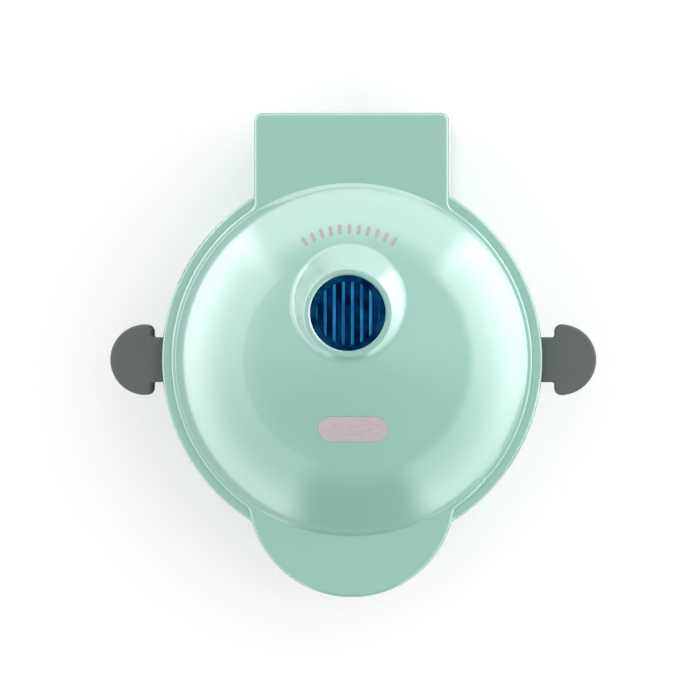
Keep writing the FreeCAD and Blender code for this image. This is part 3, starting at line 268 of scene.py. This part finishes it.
def lens_blue():
    """Blue polycarbonate over a dark well: a painted highlight in brighter blue along each rib, navy
    between and round them.
    """
    look = Look("lens_blue", Metallic=1.0)
    low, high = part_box("indicator_lens")
    middle = (Vector(low) + Vector(high)) / 2
    from_middle = look.add("VectorMath", operation="DISTANCE")
    look.link(look.levelled(look.place), from_middle.inputs[0])
    from_middle.inputs[1].default_value = (middle.x, middle.y, 0)
    in_field = look.spread(
        from_middle.outputs["Value"],
        LENS_FIELD_R + LENS_FIELD_FADE,
        LENS_FIELD_R - LENS_FIELD_FADE,
        smooth=True,
    )
    # painted highlight: brighter blue bands along the rib crests stand in for light passing through the
    # ribs
    step = look.maths("FRACT", look.maths("DIVIDE", look.parts(look.place)["X"], RIB_PITCH))
    from_rib = look.maths("ABSOLUTE", look.maths("SUBTRACT", step, 0.5))
    rib_highlight_mask = look.spread(from_rib, RIB_HIGHLIGHT_EDGE, RIB_HIGHLIGHT_PEAK, smooth=True)
    cloud = look.spread(look.noise(4 * MM, detail=2), *MIDDLE)
    along_ribs = look.scaled((1, 0.12, 1))
    highlight_streak = look.spread(look.noise(1.1 * MM, detail=2, place=along_ribs), *MIDDLE)
    between = look.blend(cloud, linear(1, 14, 42), linear(2, 36, 72))
    painted_rib_highlight = look.blend(highlight_streak, linear(8, 66, 100), linear(26, 104, 136))
    field_with_rib_highlights = look.blend(rib_highlight_mask, between, painted_rib_highlight)
    margin = look.blend(cloud, linear(1, 22, 52), linear(4, 52, 80))
    look.colour(look.blend(in_field, margin, field_with_rib_highlights))
    look.roughness(look.spread(look.noise(1 * MM), *BROAD, 0.08, 0.16))
    return look


def plate_coating():
    """Dark non-stick coating: satin, softly pebbled, with mineral flecks."""
    base = linear(50, 50, 52)
    look = Look("plate_coating", IOR=1.5, Coat_Weight=0.15, Coat_Roughness=0.3)
    pebble = look.noise(0.9 * MM, detail=3)
    fleck = look.spread(look.cells(1.1 * MM), 0.0, 0.16, 1.0, 0.0)
    patches = look.spread(look.noise(14 * MM), *MIDDLE)
    cloud = look.blend(patches, shade(base, 0.8), shade(base, 1.15))
    look.colour(look.blend(fleck, cloud, linear(104, 103, 104)))
    look.roughness(look.spread(pebble, *BROAD, 0.34, 0.5))
    look.relief(pebble, 0.03 * MM, 0.6)
    return look


def aluminised_sheet():
    """Hot-dipped sheet with a faint spangle and rolling lines."""
    look = Look("aluminised_sheet", Metallic=1.0)
    base = linear(196, 198, 200)
    spangle = look.cells(6 * MM)
    lines = look.noise(0.4 * MM, detail=2, place=look.scaled((1, 0.08, 1)))
    tone = look.blend(look.spread(spangle, 0.0, 0.7), shade(base, 0.86), shade(base, 1.08))
    look.colour(look.blend(look.spread(lines, *BROAD, 0.0, 0.3), tone, shade(base, 0.75)))
    look.roughness(look.spread(lines, *BROAD, 0.3, 0.46))
    look.relief(lines, 0.01 * MM, 0.5)
    return look


def heater_sheath():
    """Oxidised heater tube: grey-brown with straw and blue heat tints."""
    look = Look("heater_sheath", Metallic=0.85)
    tint = look.spread(look.noise(16 * MM, detail=2), *MIDDLE)
    speck = look.noise(0.6 * MM, detail=5)
    warm = look.blend(tint, linear(120, 108, 92), linear(92, 96, 110))
    look.colour(look.blend(look.spread(speck, *UPPER, 0.0, 0.6), warm, linear(72, 68, 64)))
    look.roughness(look.spread(speck, *BROAD, 0.4, 0.62))
    look.relief(speck, 0.02 * MM, 0.6)
    return look


def drawn_metal(name, colour, rough, grain):
    """Bright metal with fine drawing or turning marks and a few handling smudges."""
    look = Look(name, Metallic=1.0)
    marks = look.noise(grain, detail=4)
    smudge = look.noise(5 * MM, detail=3)
    tone = look.blend(look.spread(smudge, *MIDDLE), shade(colour, 0.9), shade(colour, 1.06))
    look.colour(look.blend(look.spread(marks, *PEAKS, 0.0, 0.5), tone, shade(colour, 0.7)))
    look.roughness(look.spread(smudge, *BROAD, rough - 0.06, rough + 0.1))
    look.relief(marks, 0.008 * MM, 0.5)
    return look


def lamp_glass():
    """A small neon lamp: clear glass with a warm tint."""
    look = Look("lamp_glass", IOR=1.5, Transmission_Weight=0.8)
    tint = look.spread(look.noise(3 * MM), *BROAD)
    look.colour(look.blend(tint, linear(250, 226, 200), linear(236, 190, 150)))
    look.roughness(look.spread(look.noise(1 * MM), *BROAD, 0.05, 0.14))
    return look


def white_plastic():
    """Heat-proof white plastic and ceramic, a little chalky."""
    base = linear(226, 224, 216)
    look = Look("white_plastic", IOR=1.5)
    chalk = look.noise(0.8 * MM, detail=4)
    stain = look.spread(look.noise(8 * MM), 0.5, 0.8, 0.0, 0.6)
    tone = look.blend(look.spread(chalk, *BROAD), shade(base, 0.95), shade(base, 1.03))
    look.colour(look.blend(stain, tone, linear(208, 198, 180)))
    look.roughness(look.spread(chalk, *BROAD, 0.38, 0.55))
    look.relief(chalk, 0.01 * MM, 0.5)
    return look


def rubber():
    """Soft black rubber with a dusty bloom."""
    base = linear(44, 44, 46)
    look = Look("rubber", IOR=1.5, Specular_IOR_Level=0.3)
    bloom = look.spread(look.noise(5 * MM, detail=4), *PEAKS)
    grain = look.noise(0.4 * MM, detail=4)
    look.colour(look.blend(bloom, base, linear(66, 65, 64)))
    look.roughness(look.spread(grain, *BROAD, 0.68, 0.86))
    look.relief(grain, 0.03 * MM, 0.7)
    return look


def wire_silicone():
    """Brick-red silicone insulation with a powdery skin."""
    base = linear(168, 74, 58)
    look = Look("wire_silicone", IOR=1.43)
    powder = look.noise(0.7 * MM, detail=4)
    look.colour(look.blend(look.spread(powder, *PEAKS), base, shade(base, 1.5)))
    look.roughness(look.spread(powder, *BROAD, 0.45, 0.62))
    look.relief(powder, 0.015 * MM, 0.6)
    return look


LOOKS = {
    "mint_shell": mint_shell(),
    "badge_metal": badge_metal(),
    "mark_ink": mark_ink(),
    "lens_blue": lens_blue(),
    "dark_plastic": grained_plastic("dark_plastic", CHARCOAL, 0.35 * MM, 0.03 * MM, 0.5),
    "latch_grey": grained_plastic("latch_grey", LATCH_GREY, 0.3 * MM, 0.025 * MM, 0.55),
    "plate_coating": plate_coating(),
    "aluminised_sheet": aluminised_sheet(),
    "heater_sheath": heater_sheath(),
    "steel": drawn_metal("steel", linear(186, 187, 190), 0.28, 0.3 * MM),
    "thermostat_metal": drawn_metal("thermostat_metal", linear(198, 194, 184), 0.36, 0.5 * MM),
    "lamp_glass": lamp_glass(),
    "white_plastic": white_plastic(),
    "rubber": rubber(),
    "wire_silicone": wire_silicone(),
}

for node in nodes.values():
    for slot in node.material_slots:
        slot.material = LOOKS[slot.material.name.split(".")[0]].material


# Latch springs copied onto the lid and base


def latch_springs():
    """Each latch spring as a copy of its own that rides with the lid or base, the original hidden."""
    for body, tier in (("lid", "upper"), ("base", "lower")):
        for side in ("left", "right"):
            name = f"{tier}_latch_spring_{side}"
            piece = bpy.data.objects.new(f"{tier}_{side}_sprung_coil", nodes[name].data.copy())
            bpy.context.scene.collection.objects.link(piece)
            piece.matrix_world = nodes[name].matrix_world.copy()
            inner, peg = (Vector(corner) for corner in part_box(name))
            if side == "left":
                inner, peg = peg, inner
            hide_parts(name)
            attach(piece, body)
            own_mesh(piece)


latch_springs()


# Floor, light and camera

FLOOR_SIZE = 3.0
FLOOR_TONE = linear(252, 246, 248)
FLOOR_GLOW = 0.23
FOCAL_LENGTH, SENSOR = 300, 36  # in millimetres, as Blender's cameras take them
VIEW_WIDTH = 233.333 * MM  # how wide a stretch the picture takes in at the height it aims at
LEAN = math.radians(3.0)  # the camera leans this far to the right of straight overhead
AIM = Vector((-0.67 * MM, 1.68 * MM, 47 * MM))
NEAR_CLIP, FAR_CLIP = 1 / 20, 5  # shares of the camera's distance

# Light that reaches matt surfaces: an even fill, and a broad soft key from the right and behind
FILL, KEY_GLOW = 0.78, 0.55
KEY_FROM = Vector((0.7, 0.35, 0.62)).normalized()
KEY_FADE = (0.5, 0.95)  # cosine of the angle to the key, from where it starts to where it is full

# Light that glossy surfaces mirror. A direction's rise is its height, -1 to 1, and its lead is how far its
# bearing points behind the object, also -1 to 1. An edge runs from where a softbox is dark to where it is
# full.
LEFT_GLOW, RIGHT_GLOW, REAR_GLOW = 3.2, 3.7, 2.2
OVERHEAD_GLOW, CEILING_GLOW, FRONT_GLOW = 1.5, 1.9, 1.4
SIDE_FRONT_EDGE, SIDE_REAR_EDGE = (-0.97, -0.87), (0.82, 0.68)
LEFT_TOP_EDGE, LEFT_DIM = (0.82, 0.72), 0.38
RIGHT_TOP_EDGE, RIGHT_DIM = (0.72, 0.63), 0.55
SIDE_FOOT, SIDE_BRIGHT = 0.2, 1.1  # a side softbox grows from dim at its top to bright at its foot
SIDE_LENGTHWISE = (-0.8, 0.5, 0.55, 1.15)  # lead from and to, and the share of light at each
LEFT_TO_RIGHT = (-0.3, 0.3)
REAR_SIDE_EDGE, REAR_TOP_EDGE = (0.6, 0.85), (0.78, 0.45)
OVERHEAD_EDGE = (0.985, 0.998)
CEILING_LENGTHWISE = (-0.7, 0.3)
CEILING_FALL = (0.5, 0.8, 0.6, 1.0)  # rise from and to, and the share of light at each


def floor():
    """A wide sheet of pale paper that the object stands on."""
    mesh = bpy.data.meshes.new("floor")
    half = FLOOR_SIZE / 2
    mesh.from_pydata(
        [(-half, -half, 0), (half, -half, 0), (half, half, 0), (-half, half, 0)], [], [(0, 1, 2, 3)]
    )
    piece = bpy.data.objects.new("floor", mesh)
    bpy.context.scene.collection.objects.link(piece)
    piece.location.z = cad_low.z
    look = Look(
        "floor",
        Roughness=0.85,
        Specular_IOR_Level=0.2,
        Emission_Color=(1, 1, 1, 1),
        Emission_Strength=FLOOR_GLOW,
    )
    paper = look.noise(40 * MM, detail=3)
    look.colour(look.blend(look.spread(paper, *BROAD), shade(FLOOR_TONE, 0.99), FLOOR_TONE))
    mesh.materials.append(look.material)


def studio():
    """Even fill light, and large softboxes left, right and behind that show in glossy surfaces."""
    world = bpy.data.worlds.new("studio")
    world.use_nodes = True
    graph = Graph(world.node_tree)

    def times(*factors):
        product = factors[0]
        for factor in factors[1:]:
            product = graph.maths("MULTIPLY", product, factor)
        return product

    def plus(*terms):
        total = terms[0]
        for term in terms[1:]:
            total = graph.maths("ADD", total, term)
        return total

    def ramp(value, limits):
        """A soft step from 0 to 1, or between the third and fourth limit where there are four."""
        return graph.spread(value, *limits, smooth=True)

    def rest_of(share):
        return graph.maths("SUBTRACT", 1.0, share)

    ray = graph.add("TexCoord").outputs["Generated"]
    rise = graph.parts(ray)["Z"]
    unit = graph.add("VectorMath", operation="NORMALIZE")
    graph.link(graph.levelled(ray), unit.inputs[0])
    bearing = graph.parts(unit.outputs["Vector"])
    lead = bearing["Y"]

    def wall(top_edge, dim):
        """A side softbox's light by height: none above its top, then growing towards its foot."""
        return times(ramp(rise, top_edge), graph.spread(rise, top_edge[1], SIDE_FOOT, dim, SIDE_BRIGHT))

    rightness = ramp(bearing["X"], LEFT_TO_RIGHT)
    side_glow = graph.spread(rightness, 0, 1, LEFT_GLOW, RIGHT_GLOW)
    left_wall = times(rest_of(rightness), wall(LEFT_TOP_EDGE, LEFT_DIM))
    right_wall = times(rightness, wall(RIGHT_TOP_EDGE, RIGHT_DIM))
    side_reach = times(ramp(lead, SIDE_FRONT_EDGE), ramp(lead, SIDE_REAR_EDGE))
    sides = times(side_glow, side_reach, plus(left_wall, right_wall), ramp(lead, SIDE_LENGTHWISE))
    rear = times(REAR_GLOW, ramp(lead, REAR_SIDE_EDGE), ramp(rise, REAR_TOP_EDGE))
    overhead = ramp(rise, OVERHEAD_EDGE)
    ceiling = graph.spread(lead, *CEILING_LENGTHWISE, FRONT_GLOW, CEILING_GLOW, smooth=True)
    upper = plus(times(overhead, OVERHEAD_GLOW), times(rest_of(overhead), ceiling))
    gloss = plus(sides, rear, times(upper, ramp(rise, CEILING_FALL)))

    toward_key = graph.add("VectorMath", operation="DOT_PRODUCT")
    graph.link(ray, toward_key.inputs[0])
    toward_key.inputs[1].default_value = KEY_FROM
    fill = graph.spread(toward_key.outputs["Value"], *KEY_FADE, FILL, FILL + KEY_GLOW, smooth=True)
    glossy_ray = graph.add("LightPath").outputs["Is Glossy Ray"]
    background = world.node_tree.nodes["Background"]
    background.inputs["Color"].default_value = (1, 1, 1, 1)
    strength = plus(times(glossy_ray, gloss), times(rest_of(glossy_ray), fill))
    graph.link(strength, background.inputs["Strength"])
    bpy.context.scene.world = world


def camera():
    """A distant camera almost straight overhead."""
    data = bpy.data.cameras.new("camera")
    data.lens, data.sensor_width = FOCAL_LENGTH, SENSOR
    distance = VIEW_WIDTH * FOCAL_LENGTH / SENSOR
    data.clip_start, data.clip_end = distance * NEAR_CLIP, distance * FAR_CLIP
    eye = bpy.data.objects.new("camera", data)
    eye.location = AIM + Vector((math.sin(LEAN), 0, math.cos(LEAN))) * distance
    eye.rotation_euler = (0, LEAN, 0)
    bpy.context.scene.collection.objects.link(eye)
    bpy.context.scene.camera = eye


floor()
studio()
camera()
bpy.context.scene.view_settings.view_transform = "Standard"
